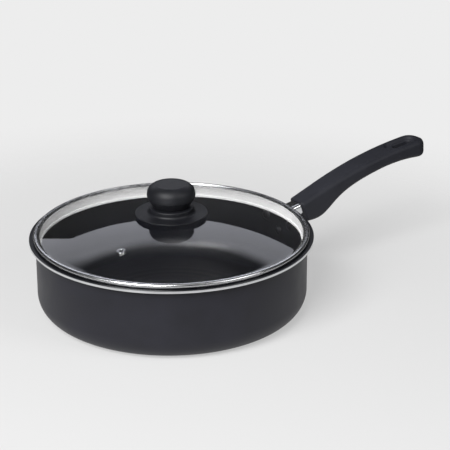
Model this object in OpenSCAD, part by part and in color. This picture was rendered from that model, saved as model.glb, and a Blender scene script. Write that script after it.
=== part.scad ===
// Deep pan with one long handle and a domed glass lid in a steel rim band.
// The origin is on the pan's axis at the surface it stands on. +X runs along
// the handle and +Z is up. Every length is in millimetres.

/* [Pan body] */
// Outside diameter of the wall
pan_d = 260; // [200:1:320]
// Height from the standing surface to the top of the lip
pan_h = 73.5; // [60:0.5:120]
// Thickness of the wall and the lip
wall_t = 2.5; // [2:0.1:3.5]
// Thickness of the floor
floor_t = 3.5; // [2.5:0.1:6]
// Outside radius where the wall meets the floor
corner_r = 20; // [12:0.5:26]
// Radius that turns the wall outwards into the lip, on its cooking side
flare_r = 6; // [5:0.5:8]
// Flat width of the lip beyond the flare
lip_w = 2.5; // [1.5:0.5:5]
// Number of ring grooves under the floor
groove_count = 4; // [2:1:5]
// Width of each ring groove
groove_w = 3; // [2:0.5:5]
// Depth of each ring groove
groove_depth = 0.4; // [0.2:0.1:0.8]
// Distance from one ring groove to the next
groove_pitch = 16; // [12:1:18]

/* [Handle bracket] */
// Thickness of the curved flange against the wall
flange_t = 2; // [1.5:0.1:3]
// Width of the flange, measured straight across
flange_w = 54; // [50:1:64]
// Height of the flange
flange_h = 29; // [27:0.5:34]
// Corner radius of the flange
flange_corner_r = 6; // [3:0.5:8]
// Height of the flange above the top of the tang
flange_over = 1.5; // [1:0.5:3]
// Width of the tang that carries the grip
tang_w = 13; // [10:0.5:14]
// Thickness of the tang
tang_t = 4; // [3:0.5:5]
// Upward slope of the tang, in degrees
tang_angle = 10; // [6:0.5:12]
// Reach of the tang past the front of the grip
tang_reach = 22; // [20:0.5:24]

/* [Rivets] */
// Shank diameter
rivet_d = 5; // [4:0.5:6]
// Head diameter
rivet_head_d = 10; // [8:0.5:11]
// Head height
rivet_head_h = 1.8; // [1.2:0.1:2]
// Distance between the two upper rivets, measured straight across
rivet_spread = 38; // [36:0.5:40]
// Height of the upper rivets above the lower one
rivet_rise = 11; // [10:0.5:13]
// Distance from the top of the flange to the upper rivets
rivet_edge = 9.5; // [8:0.5:11]

/* [Flame guard] */
// Width of the steel sleeve
guard_w = 16; // [15:0.5:18]
// Height of the steel sleeve
guard_h = 12; // [10:0.5:13]
// Gap between the pan's lip and the top of the sleeve
guard_gap = 0.9; // [0.5:0.1:1.5]
// Corner radius of the sleeve
guard_corner_r = 3; // [2:0.5:4]
// Sheet thickness of the sleeve
guard_t = 0.8; // [0.5:0.1:1.2]

/* [Grip] */
// Distance from the edge of the pan's lip to the top front edge of the grip
grip_start = 14; // [13:0.5:18]
// Height of that edge above the top of the lip
grip_lift = 1; // [0.5:0.5:3]
// Length along the top line
grip_len = 167; // [140:1:200]
// Upward slope at the front, in degrees
grip_angle = 19.5; // [17:0.5:22]
// Length of the straight stretch of the top line
grip_straight = 33; // [20:1:45]
// Radius of the arched stretch of the top line
grip_arch_r = 465; // [400:5:600]
// Width at the front
grip_front_w = 23; // [21:0.5:26]
// Width in the middle
grip_mid_w = 27; // [22:0.5:30]
// Width at the hanging end
grip_end_w = 29; // [25:0.5:32]
// Depth in the middle
grip_depth = 14; // [11:0.2:16]
// Extra depth of the finger stop near the pan
chin_depth = 13; // [11:0.2:15]
// Place of the deepest point of the finger stop along the top line
chin_place = 16; // [14:0.5:20]
// Length over which the finger stop fades out
chin_fade = 18; // [14:0.5:20]
// Extra depth at the hanging end
tip_depth = 6; // [2:0.5:8]
// Length of the rounded end
tip_round = 15; // [12:0.5:18]
// Radius along the grip's long edges
grip_edge_r = 5; // [3:0.5:5.5]
// Clearance around the flame guard and the tang inside the grip
grip_fit = 0.2; // [0.1:0.05:0.4]
// Depth of the grip's mouth around the flame guard
mouth_depth = 7; // [5:0.5:9]

/* [Hanging slot] */
// Length of the slot
slot_len = 24; // [20:1:30]
// Width of the slot
slot_w = 10; // [8:0.5:12]
// Distance from the far end of the grip to the far end of the slot
slot_end = 12; // [11:0.5:16]
// Length of the shallow recess around the slot
recess_len = 38; // [34:1:44]
// Width of the recess
recess_w = 18; // [14:0.5:20]
// Depth of the recess
recess_depth = 2; // [1:0.5:3]

/* [Grip screw] */
// Thread diameter
screw_d = 5; // [4:0.5:6]
// Head diameter
screw_head_d = 9; // [8:0.5:10]
// Head height
screw_head_h = 3; // [2:0.5:4]
// Diameter of the washer
washer_d = 10; // [9:0.5:11]
// Thickness of the washer
washer_t = 1; // [0.8:0.1:1.4]
// Depth of the washer's seat below the foot of the flame guard
clamp_step = 1; // [0.5:0.5:2]
// Distance from the tang's end back to the screw
screw_inset = 8; // [6:0.5:9]

/* [Lid] */
// Gap between the lid and the pan's flare where the lid rests
seat_gap = 0.3; // [0.2:0.05:0.5]
// Distance from the edge of the pan's lip in to the edge of the band
band_inset = 4; // [3:0.5:4.5]
// Sheet thickness of the rim band
band_t = 0.5; // [0.4:0.1:0.8]
// Outside radius of the band's bead
bead_r = 2; // [1.5:0.1:2.4]
// Width of the band's lip over the glass
band_lip_w = 3.4; // [2.5:0.1:4]
// Clearance between the band's skirt and the pan's wall
skirt_gap = 1.6; // [1:0.1:2]
// Height of the skirt below the bead
skirt_h = 10.4; // [8:0.1:11]
// Height of the folded hem at the foot of the skirt
hem_h = 2.4; // [1.5:0.1:3]
// Thickness of the glass
glass_t = 4; // [3.5:0.1:5]
// Clearance between the glass and the band
glass_gap = 0.2; // [0.1:0.05:0.4]
// Width of the flat edge of the glass
glass_flat_w = 4.2; // [3.6:0.1:6]
// Height of the dome above the flat edge
dome_rise = 16; // [10:0.5:24]

/* [Steam vent] */
// Distance of the vent from the lid's axis
vent_place = 86; // [60:1:100]
// Direction of the vent from the handle, in degrees
vent_angle = 204; // [0:1:359]
// Diameter of the hole for steam
vent_hole_d = 4; // [3:0.5:4.5]
// Wall thickness of the eyelet
vent_wall = 0.5; // [0.4:0.1:0.8]
// Diameter of the eyelet's flanges
vent_flange_d = 8.4; // [8:0.2:10]

/* [Knob] */
// Radius of the head at its widest
knob_r = 23.2; // [18:0.2:26]
// Height of the head
knob_h = 22.4; // [20:0.2:28]
// Radius of the head's rounded side
knob_side_r = 10.2; // [9:0.1:10.5]
// Radius of the head's foot
knob_foot_r = 17; // [15:0.5:20]
// Radius of the shallow dish on top
dish_r = 15; // [10:0.5:17]
// Depth of the dish
dish_depth = 0.7; // [0.4:0.1:1]
// Radius of the base's brim
brim_r = 34.5; // [28:0.5:40]
// Thickness of the brim at its edge
brim_t = 1.8; // [1.4:0.1:2.4]
// Gap between the brim and the glass
brim_gap = 2.2; // [1.5:0.1:3]
// Radius of the base's crown under the head
crown_r = 21.6; // [20:0.2:25]
// Height of the crown above the glass
crown_h = 8.8; // [8:0.2:11]
// Radius that blends the crown into the brim
crown_blend_r = 2.6; // [2:0.1:3]

/* [Knob fasteners] */
// Diameter of the hole through the middle of the glass
glass_hole_d = 8; // [7:0.5:9]
// Thread diameter of the knob screw
knob_screw_d = 5; // [4:0.5:5.5]
// Clearance around the knob screw in its holes
knob_screw_gap = 0.5; // [0.3:0.1:0.8]
// Diameter of the threaded insert
insert_d = 9; // [8:0.5:11]
// Length of the threaded insert
insert_h = 13; // [10:0.5:14]
// Depth of thread that the screw takes in the insert
thread_depth = 9; // [7:0.5:9.5]
// Radius of the upper gasket
gasket_top_r = 14; // [12:0.5:16]
// Thickness of the upper gasket
gasket_top_t = 1; // [0.8:0.1:1.5]
// Radius of the lower gasket
gasket_low_r = 11; // [10:0.5:13]
// Thickness of the lower gasket
gasket_low_t = 1.5; // [1:0.1:2]
// Radius of the steel washer
knob_washer_r = 9; // [8:0.5:9.5]
// Thickness of the steel washer
knob_washer_t = 1.2; // [1:0.1:1.6]
// Radius of the spring washer
spring_washer_r = 4.6; // [4.4:0.1:5]
// Thickness of the spring washer
spring_washer_t = 1.2; // [1:0.1:1.6]
// Radius of the knob screw's head
knob_screw_head_r = 4.5; // [4:0.1:5]
// Height of the knob screw's head
knob_screw_head_h = 3; // [2:0.1:4]

/* [Hidden] */
$fn = 180;
EPS = 0.01;
CUT = 1;

// Pan radii
wall_out_r = pan_d / 2;
wall_in_r = wall_out_r - wall_t;
flare_x = wall_in_r + flare_r;
flare_z = pan_h - flare_r;
lip_r = flare_x + lip_w;
corner_in_r = corner_r - wall_t;
groove_first_r = wall_out_r - corner_r - groove_w - groove_pitch * groove_count;

// Bracket, seen from the side: the tang's middle line leaves the wall at tang_z,
// so low that the flame guard passes under the lip
guard_top_z = pan_h - wall_t - guard_gap;
tang_z = guard_top_z - guard_h / 2 / cos(tang_angle) - (lip_r - wall_out_r) * tan(tang_angle);
flange_r = wall_out_r + flange_t;
flange_top = tang_z + tang_t / 2 + flange_over;
rivet_up_z = flange_top - rivet_edge;
rivet_low_z = rivet_up_z - rivet_rise;
rivet_turn = asin(rivet_spread / 2 / wall_out_r);
rivet_crown = 0.6 * rivet_head_h;

// Rounded end of the grip: where its extra depth begins, how full its outline is,
// and the shares of the width and the depth that its last ring keeps
tip_start_share = 0.62;
tip_shape = 2.3;
tip_last = 0.2;
tip_depth_share = 0.7;
tip_drop_share = 0.4;

// Grip: where its top line starts, how far out its mouth is, how deep the screw's
// parts sit below the tang's middle line, and how far the guard stops short of
// the bottom of the mouth
grip_x = lip_r + grip_start;
grip_z = pan_h + grip_lift;
mouth_x = grip_x + sin(grip_angle) * depth_at(0) / 2;
tang_len = grip_x - wall_out_r + tang_reach;
screw_along = tang_len - screw_inset;
clamp_bottom = guard_h / 2 + clamp_step;
guard_inset = 1;

// Grip stations
RINGS = 46;
TIP_RINGS = 9;
EDGE_STEPS = 7;
EDGE_SPARE = 0.2;
body_len = grip_len - tip_round;
slot_mid = grip_len - slot_end - slot_len / 2;
recess_mid = grip_len - slot_end + (recess_w - slot_w) / 2 - recess_len / 2;

// Lid heights, from the bead that rests in the pan's flare
band_r = lip_r - band_inset;
bead_x = band_r - bead_r;
bead_reach = flare_r + seat_gap + bead_r;
bead_z = flare_z + sqrt(pow(bead_reach, 2) - pow(flare_x - bead_x, 2));
band_bottom = bead_z - bead_r;
band_h = glass_t + 2 * band_t;
skirt_r = wall_in_r - skirt_gap;
glass_r = band_r - band_t - glass_gap;
glass_edge_r = glass_r - bead_x;
dome_edge_r = glass_r - glass_flat_w;
dome_r = (dome_edge_r * dome_edge_r + dome_rise * dome_rise) / (2 * dome_rise);
glass_bottom = band_bottom + band_t;
glass_top = glass_bottom + glass_t;
apex = glass_top + dome_rise;
vent_tilt = asin(vent_place / dome_r);

// Knob stack heights, upwards from the glass. The head's rounded side ends at
// side_end degrees below level, and the insert is drilled tap_spare deeper than
// the screw goes in.
gasket_bottom = dome_height(glass_hole_d / 2);
gasket_top = gasket_bottom + gasket_top_t;
crown_top = gasket_bottom + crown_h;
head_bottom = crown_top;
head_top = head_bottom + knob_h;
side_x = knob_r - knob_side_r;
side_z = head_top - knob_side_r;
brim_bottom = dome_height(brim_r) + brim_gap;
brim_top = brim_bottom + brim_t;
screw_hole_r = knob_screw_d / 2 + knob_screw_gap;
side_end = 24;
tap_spare = 1;

// Knob stack heights, downwards from the glass
gasket_low_top = dome_height(gasket_low_r) - glass_t;
washer_top = gasket_low_top - gasket_low_t;
spring_top = washer_top - knob_washer_t;
knob_screw_top = spring_top - spring_washer_t;

// Cross recess in a screw head, as shares of the head's diameter
cross_len_share = 0.6;
cross_w_share = 0.14;

// Height of the outside of the glass at a distance from the lid's axis
function dome_height(r) = apex - dome_r + sqrt(dome_r * dome_r - r * r);

// ---- Pan body ----

// Half section of a bowl's filled outline, with a rounded foot
module bowl_section(r, foot_r, bottom, top) {
    translate([0, bottom]) square([r - foot_r, top - bottom]);
    translate([0, bottom + foot_r]) square([r, top - bottom - foot_r]);
    translate([r - foot_r, bottom + foot_r]) circle(foot_r);
}

// Quarter ring that turns the wall outwards
module flare_section() {
    translate([flare_x, flare_z]) intersection() {
        difference() {
            circle(flare_r);
            circle(flare_r - wall_t);
        }
        translate([-flare_r, 0]) square(flare_r);
    }
}

module lip_section() {
    translate([flare_x, pan_h - wall_t]) square([lip_w, wall_t]);
}

module groove_sections() {
    for (i = [1 : groove_count])
        translate([groove_first_r + groove_pitch * i, -CUT])
            square([groove_w, groove_depth + CUT]);
}

module pan_body() {
    color("#35363b") difference() {
        rotate_extrude() {
            difference() {
                intersection() {
                    bowl_section(wall_out_r, corner_r, 0, flare_z);
                    square([wall_out_r + CUT, pan_h]);
                }
                intersection() {
                    bowl_section(wall_in_r, corner_in_r, floor_t, pan_h);
                    square([wall_in_r + CUT, pan_h + CUT]);
                }
                groove_sections();
            }
            flare_section();
            lip_section();
        }
        rivet_holes();
    }
}

// ---- Rivets ----

// Places children on the wall at a turn about the pan's axis, pointing outwards
module on_wall(turn, height) {
    rotate([0, 0, turn]) translate([0, 0, height]) rotate([0, 90, 0]) children();
}

module rivet_hole(turn, height) {
    on_wall(turn, height) cylinder(d = rivet_d, h = flange_r + CUT);
}

module rivet_holes() {
    rivet_hole(rivet_turn, rivet_up_z);
    rivet_hole(-rivet_turn, rivet_up_z);
    rivet_hole(0, rivet_low_z);
}

// Domed head made as a slice of a sphere over a short cylinder
module rivet_head() {
    head_r = rivet_head_d / 2;
    ball_r = (head_r * head_r + rivet_crown * rivet_crown) / (2 * rivet_crown);
    base = rivet_head_h - rivet_crown;
    translate([0, 0, -CUT]) cylinder(r = head_r, h = base + CUT);
    intersection() {
        translate([0, 0, base]) cylinder(r = head_r, h = rivet_crown);
        translate([0, 0, rivet_head_h - ball_r]) sphere(ball_r);
    }
}

// Shank through wall and flange, with a head inside the pan and one outside the flange
module rivet(turn, height) {
    color("#8d8f93") union() {
        intersection() {
            on_wall(turn, height) translate([0, 0, wall_in_r]) mirror([0, 0, 1]) rivet_head();
            cylinder(r = wall_in_r, h = pan_h);
        }
        difference() {
            on_wall(turn, height) translate([0, 0, flange_r]) rivet_head();
            cylinder(r = flange_r, h = pan_h);
        }
        on_wall(turn, height) translate([0, 0, wall_in_r - rivet_head_h / 2])
            cylinder(d = rivet_d, h = wall_t + flange_t + rivet_head_h);
    }
}

module rivet_left() { rivet(rivet_turn, rivet_up_z); }
module rivet_right() { rivet(-rivet_turn, rivet_up_z); }
module rivet_lower() { rivet(0, rivet_low_z); }

// ---- Bracket ----

// Rectangle with round corners, in the plane across the handle
module rounded_rect(w, h, r) {
    square([w - 2 * r, h], center = true);
    square([w, h - 2 * r], center = true);
    for (x = [-1, 1], y = [-1, 1])
        translate([x * (w / 2 - r), y * (h / 2 - r)]) circle(r);
}

// Runs a section along the tang's sloping line, from a start for a length
module along_tang(start, length) {
    translate([wall_out_r, 0, tang_z]) rotate([0, -tang_angle, 0])
        translate([start, 0, 0]) rotate([90, 0, 90]) linear_extrude(length) children();
}

module flange() {
    intersection() {
        difference() {
            cylinder(r = flange_r, h = pan_h);
            translate([0, 0, -CUT]) cylinder(r = wall_out_r, h = pan_h + 2 * CUT);
        }
        translate([0, 0, flange_top - flange_h / 2]) rotate([90, 0, 90])
            linear_extrude(flange_r + CUT) rounded_rect(flange_w, flange_h, flange_corner_r);
    }
}

module grip_screw_hole(d, from, to) {
    translate([wall_out_r, 0, tang_z]) rotate([0, -tang_angle, 0])
        translate([screw_along, 0, from]) cylinder(d = d, h = to - from);
}

module handle_bracket() {
    color("#9a9ca0") difference() {
        union() {
            flange();
            difference() {
                along_tang(-flange_t, tang_len + flange_t) square([tang_w, tang_t], center = true);
                cylinder(r = wall_out_r, h = 2 * pan_h);
            }
        }
        rivet_holes();
        grip_screw_hole(screw_d, -tang_t, tang_t);
    }
}

// ---- Flame guard ----

module guard_section(grow) {
    rounded_rect(guard_w + 2 * grow, guard_h + 2 * grow, guard_corner_r + grow);
}

module flame_guard() {
    color("#d9dadc") difference() {
        along_tang(0, guard_front() + mouth_depth - guard_inset) difference() {
            guard_section(0);
            guard_section(-guard_t);
        }
        cylinder(r = flange_r + grip_fit, h = 2 * pan_h);
    }
}

// Distance along the tang from the wall to the front of the grip
function guard_front() = (mouth_x - wall_out_r) / cos(tang_angle);

// ---- Grip ----

function slope_at(s) =
    s < grip_straight ? grip_angle : grip_angle - (s - grip_straight) / grip_arch_r * 180 / PI;

// Top line: a straight stretch, then an arc that levels out
function top_at(s) =
    s < grip_straight
    ? [grip_x + s * cos(grip_angle), grip_z + s * sin(grip_angle)]
    : [
        grip_x + grip_straight * cos(grip_angle)
            + grip_arch_r * (sin(grip_angle) - sin(slope_at(s))),
        grip_z + grip_straight * sin(grip_angle)
            + grip_arch_r * (cos(slope_at(s)) - cos(grip_angle))
    ];

function sech(x) = 2 / (exp(x) + exp(-x));
function share(s, a, b) = min(max((s - a) / (b - a), 0), 1);

function depth_at(s) =
    grip_depth
    + chin_depth * sech((s - chin_place) / chin_fade)
    + tip_depth * pow(share(s, grip_len * tip_start_share, grip_len), 2);

function width_at(s) =
    s < grip_len / 2
    ? grip_front_w + (grip_mid_w - grip_front_w) * share(s, 0, grip_len / 2)
    : grip_mid_w + (grip_end_w - grip_mid_w) * share(s, grip_len / 2, grip_len);

// How much of the full width is left in the rounded end
function tip_share(s) = pow(1 - pow(share(s, body_len, grip_len), tip_shape), 1 / tip_shape);

// Rounded rectangle, w wide and h deep, with its top edge at zero
function edge_points(w, h, r) = [
    for (c = [[1, 0], [1, 1], [-1, 1], [-1, 0]], k = [0 : EDGE_STEPS - 1])
        let (
            first = c == [1, 0] ? -90 : c == [1, 1] ? 0 : c == [-1, 1] ? 90 : 180,
            a = first + 90 * k / (EDGE_STEPS - 1),
            cy = c[1] == 0 ? r : h - r
        )
        [c[0] * (w / 2 - r) + r * cos(a), cy + r * sin(a)]
];

function ring_at(s) =
    let (
        left = max(tip_share(s), tip_last),
        w = width_at(s) * left,
        full = depth_at(s),
        h = full * (tip_depth_share + (1 - tip_depth_share) * left),
        drop = (full - h) * tip_drop_share,
        r = min(grip_edge_r, w / 2 - EDGE_SPARE, h / 2 - EDGE_SPARE),
        top = top_at(s),
        t = slope_at(s)
    )
    [
        for (p = edge_points(w, h, r))
            [
                top[0] + (p[1] + drop) * sin(t),
                -p[0],
                top[1] - (p[1] + drop) * cos(t)
            ]
    ];

// Stations closer together where the end rounds off
function stations() = concat(
    [for (i = [0 : RINGS]) body_len * i / RINGS],
    [for (i = [1 : TIP_RINGS]) body_len + tip_round * sin(90 * i / TIP_RINGS)]
);

module swept_grip() {
    rings = [for (s = stations()) ring_at(s)];
    n = len(rings[0]);
    m = len(rings);
    points = [for (ring = rings) for (p = ring) p];
    sides = [
        for (i = [0 : m - 2], j = [0 : n - 1])
            let (k = (j + 1) % n)
            each [
                [i * n + j, (i + 1) * n + j, (i + 1) * n + k],
                [i * n + j, (i + 1) * n + k, i * n + k]
            ]
    ];
    front = [for (j = [0 : n - 1]) j];
    back = [for (j = [0 : n - 1]) m * n - 1 - j];
    polyhedron(points, concat(sides, [front], [back]), convexity = 6);
}

// Places children on the top line at a station, lying along it
module on_top(s) {
    translate([top_at(s)[0], 0, top_at(s)[1]]) rotate([0, -slope_at(s), 0]) children();
}

// Slot with round ends, standing up from z = 0
module obround(length, w, h) {
    linear_extrude(h) union() {
        square([length - w, w], center = true);
        for (x = [-1, 1]) translate([x * (length - w) / 2, 0]) circle(d = w);
    }
}

module hanging_cuts() {
    slot_cut = depth_at(grip_len) + CUT;
    on_top(slot_mid) translate([0, 0, -slot_cut])
        obround(slot_len, slot_w, slot_cut + 2 * CUT);
    on_top(recess_mid) translate([0, 0, -recess_depth])
        obround(recess_len, recess_w, recess_depth + 2 * CUT);
}

module grip() {
    color("#26272b") difference() {
        swept_grip();
        along_tang(0, guard_front() + mouth_depth) guard_section(grip_fit);
        along_tang(0, tang_len + grip_fit)
            square([tang_w + 2 * grip_fit, tang_t + 2 * grip_fit], center = true);
        grip_screw_hole(screw_d + 2 * grip_fit, -clamp_bottom - CUT, 0);
        grip_screw_hole(washer_d + 2 * grip_fit, -3 * pan_h, -clamp_bottom);
        hanging_cuts();
    }
}

module grip_washer() {
    color("#b9bbbe") difference() {
        grip_screw_hole(washer_d, -clamp_bottom - washer_t, -clamp_bottom);
        grip_screw_hole(screw_d + 2 * grip_fit, -clamp_bottom - 2 * washer_t, 0);
    }
}

// Screw head below the washer, its thread in the tang
module grip_screw() {
    head_top_z = -clamp_bottom - washer_t;
    color("#c4c6c9") union() {
        grip_screw_hole(screw_d, head_top_z - EPS, tang_t / 2);
        difference() {
            grip_screw_hole(screw_head_d, head_top_z - screw_head_h, head_top_z);
            translate([wall_out_r, 0, tang_z]) rotate([0, -tang_angle, 0])
                translate([screw_along, 0, head_top_z - screw_head_h])
                    cross_slot(screw_head_d, screw_head_h);
        }
    }
}

// Cross recess of a screw, cut upwards from z = 0
module cross_slot(head_d, head_h) {
    for (a = [0, 90]) rotate([0, 0, a])
        cube([head_d * cross_len_share, head_d * cross_w_share, head_h], center = true);
}

// ---- Lid ----

// Filled outline of the dome, below a sphere that is lowered by the given drop
module dome_section(drop, bottom) {
    intersection() {
        translate([0, apex - dome_r - drop]) circle(dome_r);
        translate([0, bottom]) square([dome_edge_r, dome_rise + 2 * glass_t]);
    }
}

// Ground edge of the glass, rounded to fit inside the bead
module glass_edge_section() {
    translate([bead_x, glass_bottom + glass_edge_r])
        square([glass_edge_r, glass_t - 2 * glass_edge_r]);
    intersection() {
        for (z = [glass_edge_r, glass_t - glass_edge_r])
            translate([bead_x, glass_bottom + z]) circle(glass_edge_r);
        translate([bead_x, glass_bottom]) square([glass_edge_r, glass_t]);
    }
}

module lid_glass() {
    color([0.75, 0.82, 0.82, 0.35]) difference() {
        rotate_extrude() {
            difference() {
                dome_section(0, glass_bottom);
                dome_section(glass_t, glass_bottom - CUT);
            }
            translate([dome_edge_r, glass_bottom]) square([bead_x - dome_edge_r, glass_t]);
            glass_edge_section();
        }
        translate([0, 0, glass_bottom]) cylinder(d = glass_hole_d, h = dome_rise + 2 * glass_t);
        at_vent(-2 * glass_t) cylinder(r = vent_hole_d / 2 + vent_wall + glass_gap, h = 3 * glass_t);
    }
}

// Bead around the glass edge: a U section with its mouth to the inside
module bead_section() {
    inner_r = bead_r - band_t;
    foot_x = skirt_r - band_t;
    lip_x = band_r - band_lip_w;
    translate([0, band_bottom]) difference() {
        union() {
            translate([foot_x, 0]) square([bead_x - foot_x, band_t + glass_t / 2]);
            translate([lip_x, glass_t / 2]) square([bead_x - lip_x, band_h - glass_t / 2]);
            translate([bead_x, bead_r]) square([bead_r, band_h - 2 * bead_r]);
            for (z = [bead_r, band_h - bead_r]) translate([bead_x, z]) circle(bead_r);
        }
        translate([foot_x - CUT, band_t]) square([bead_x - foot_x + CUT, glass_t]);
        translate([bead_x - CUT, bead_r]) square([inner_r + CUT, band_h - 2 * bead_r]);
        for (z = [bead_r, band_h - bead_r]) translate([bead_x, z]) circle(inner_r);
    }
}

// Straight skirt with its edge folded back inside
module skirt_section() {
    foot = band_bottom - skirt_h;
    translate([skirt_r - band_t, foot]) square([band_t, skirt_h + band_t / 2]);
    translate([skirt_r - 2 * band_t, foot]) square([2 * band_t, hem_h]);
}

module rim_band() {
    color("#d4d5d8") rotate_extrude() {
        bead_section();
        skirt_section();
    }
}

// Places children on the glass at the vent, square to the dome
module at_vent(rise) {
    rotate([0, 0, vent_angle]) translate([0, 0, apex - dome_r]) rotate([0, vent_tilt, 0])
        translate([0, 0, dome_r + rise]) children();
}

module vent_eyelet() {
    tube_r = vent_hole_d / 2 + vent_wall;
    under = -glass_t - EPS;
    color("#dfe0e2") difference() {
        union() {
            at_vent(under - vent_wall) cylinder(r = tube_r, h = vent_wall * 2 - under);
            at_vent(0) cylinder(d = vent_flange_d, h = vent_wall);
            at_vent(under - vent_wall) cylinder(d = vent_flange_d, h = vent_wall);
        }
        at_vent(-2 * glass_t) cylinder(d = vent_hole_d, h = 3 * glass_t);
    }
}

// ---- Knob ----

module head_section() {
    difference() {
        union() {
            translate([0, side_z]) square([side_x, knob_side_r]);
            translate([side_x, side_z]) circle(knob_side_r);
            polygon([
                [0, head_bottom],
                [knob_foot_r, head_bottom],
                [side_x + knob_side_r * cos(side_end), side_z - knob_side_r * sin(side_end)],
                [0, side_z]
            ]);
        }
        translate([0, head_top - dish_depth]) square([dish_r, CUT + dish_depth]);
    }
}

module knob_head() {
    color("#222327") difference() {
        rotate_extrude() head_section();
        translate([0, 0, head_bottom - CUT]) cylinder(d = insert_d, h = insert_h + CUT);
    }
}

module knob_insert() {
    color("#b5964a") difference() {
        translate([0, 0, head_bottom]) cylinder(d = insert_d, h = insert_h);
        translate([0, 0, head_bottom - CUT])
            cylinder(d = knob_screw_d, h = thread_depth + tap_spare + CUT);
    }
}

// Hat shape: brim, blend and crown, hollowed below for the gasket
module base_section() {
    shoulder_r = crown_blend_r / 2;
    pocket_r = gasket_top_r + glass_gap;
    boss_h = crown_top - shoulder_r - gasket_top; // keeps the base on its gasket when the dome is flatter
    difference() {
        union() {
            translate([0, brim_bottom]) square([brim_r - brim_t / 2, brim_t]);
            translate([brim_r - brim_t / 2, brim_bottom + brim_t / 2]) circle(brim_t / 2);
            translate([0, brim_bottom]) square([crown_r, crown_top - brim_bottom - shoulder_r]);
            translate([0, brim_bottom]) square([crown_r - shoulder_r, crown_top - brim_bottom]);
            translate([crown_r - shoulder_r, crown_top - shoulder_r]) circle(shoulder_r);
            translate([crown_r, brim_top]) square(crown_blend_r);
            translate([0, gasket_top]) square([gasket_top_r, boss_h]);
        }
        translate([crown_r + crown_blend_r, brim_top + crown_blend_r]) circle(crown_blend_r);
        if (gasket_top > brim_bottom)
            translate([0, brim_bottom - CUT]) square([pocket_r, gasket_top - brim_bottom + CUT]);
    }
}

module knob_base() {
    color("#292a2e") difference() {
        rotate_extrude() base_section();
        translate([0, 0, apex - CUT]) cylinder(r = screw_hole_r, h = crown_h + 2 * CUT);
    }
}

module flat_ring(outer, inner, top, thickness) {
    difference() {
        translate([0, 0, top - thickness]) cylinder(r = outer, h = thickness);
        translate([0, 0, top - thickness - CUT]) cylinder(r = inner, h = thickness + 2 * CUT);
    }
}

module upper_gasket() {
    color("#3a3b3f") flat_ring(gasket_top_r, screw_hole_r, gasket_top, gasket_top_t);
}

module lower_gasket() {
    color("#3a3b3f") flat_ring(gasket_low_r, screw_hole_r, gasket_low_top, gasket_low_t);
}

module knob_washer() {
    color("#c9cbce") flat_ring(knob_washer_r, screw_hole_r, washer_top, knob_washer_t);
}

module knob_spring_washer() {
    color("#a9abae") flat_ring(spring_washer_r, screw_hole_r, spring_top, spring_washer_t);
}

module knob_screw() {
    color("#c4c6c9") union() {
        translate([0, 0, knob_screw_top - EPS])
            cylinder(d = knob_screw_d, h = head_bottom + thread_depth - knob_screw_top + EPS);
        difference() {
            translate([0, 0, knob_screw_top - knob_screw_head_h])
                cylinder(r = knob_screw_head_r, h = knob_screw_head_h);
            translate([0, 0, knob_screw_top - knob_screw_head_h])
                cross_slot(2 * knob_screw_head_r, knob_screw_head_h);
        }
    }
}

pan_body();
handle_bracket();
rivet_left();
rivet_right();
rivet_lower();
flame_guard();
grip();
grip_screw();
grip_washer();
lid_glass();
rim_band();
vent_eyelet();
knob_head();
knob_insert();
knob_base();
upper_gasket();
lower_gasket();
knob_washer();
knob_spring_washer();
knob_screw();
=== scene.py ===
# Deep pan with one long handle and a domed glass lid in a steel rim band.
# Metres, with the origin on the pan's axis at the surface it stands on, +X along the handle.
import math

import bmesh
import bpy
from mathutils import Matrix, Vector


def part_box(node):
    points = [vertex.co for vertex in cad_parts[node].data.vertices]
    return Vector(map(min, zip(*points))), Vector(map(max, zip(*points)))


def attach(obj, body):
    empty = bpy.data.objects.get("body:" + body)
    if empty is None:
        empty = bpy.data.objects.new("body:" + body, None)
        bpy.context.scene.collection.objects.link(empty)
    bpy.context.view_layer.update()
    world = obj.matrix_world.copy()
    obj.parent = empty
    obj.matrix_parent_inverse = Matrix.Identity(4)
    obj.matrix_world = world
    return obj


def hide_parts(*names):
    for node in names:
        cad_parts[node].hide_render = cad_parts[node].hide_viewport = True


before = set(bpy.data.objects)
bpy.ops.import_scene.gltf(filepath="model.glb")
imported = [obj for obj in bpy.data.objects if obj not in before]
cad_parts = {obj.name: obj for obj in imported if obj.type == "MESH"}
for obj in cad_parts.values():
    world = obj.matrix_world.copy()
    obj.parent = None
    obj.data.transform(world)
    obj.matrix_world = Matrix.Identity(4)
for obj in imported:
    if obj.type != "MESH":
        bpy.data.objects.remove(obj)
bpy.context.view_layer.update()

MM = 0.001
TURN_STEPS = 256
WELD = 1e-6


def size(node):
    """Lowest and highest corner of a CAD node, in millimetres."""
    low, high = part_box(node)
    return low / MM, high / MM


# ---- Colours, nodes and materials ----

def linear(hex_colour):
    """sRGB hex to the linear RGBA that sockets take."""
    parts = [int(hex_colour[i:i + 2], 16) / 255 for i in (1, 3, 5)]
    return tuple(c / 12.92 if c <= 0.04045 else ((c + 0.055) / 1.055) ** 2.4 for c in parts) + (1.0,)


def add(tree, kind, settings=None, inputs=None):
    """Adds a node, sets its properties, and fills or links its inputs."""
    node = tree.nodes.new(kind)
    for name, value in (settings or {}).items():
        setattr(node, name, value)
    for name, value in (inputs or {}).items():
        if isinstance(value, bpy.types.NodeSocket):
            tree.links.new(value, node.inputs[name])
        else:
            node.inputs[name].default_value = value
    return node


def blank_material(name):
    """A material with an empty node tree and an output, and its Object coordinates."""
    material = bpy.data.materials.new(name)
    material.use_nodes = True
    tree = material.node_tree
    tree.nodes.clear()
    place = add(tree, "ShaderNodeTexCoord").outputs["Object"]
    return material, tree, place


def finish_material(tree, shader):
    add(tree, "ShaderNodeOutputMaterial", inputs={"Surface": shader})


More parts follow.
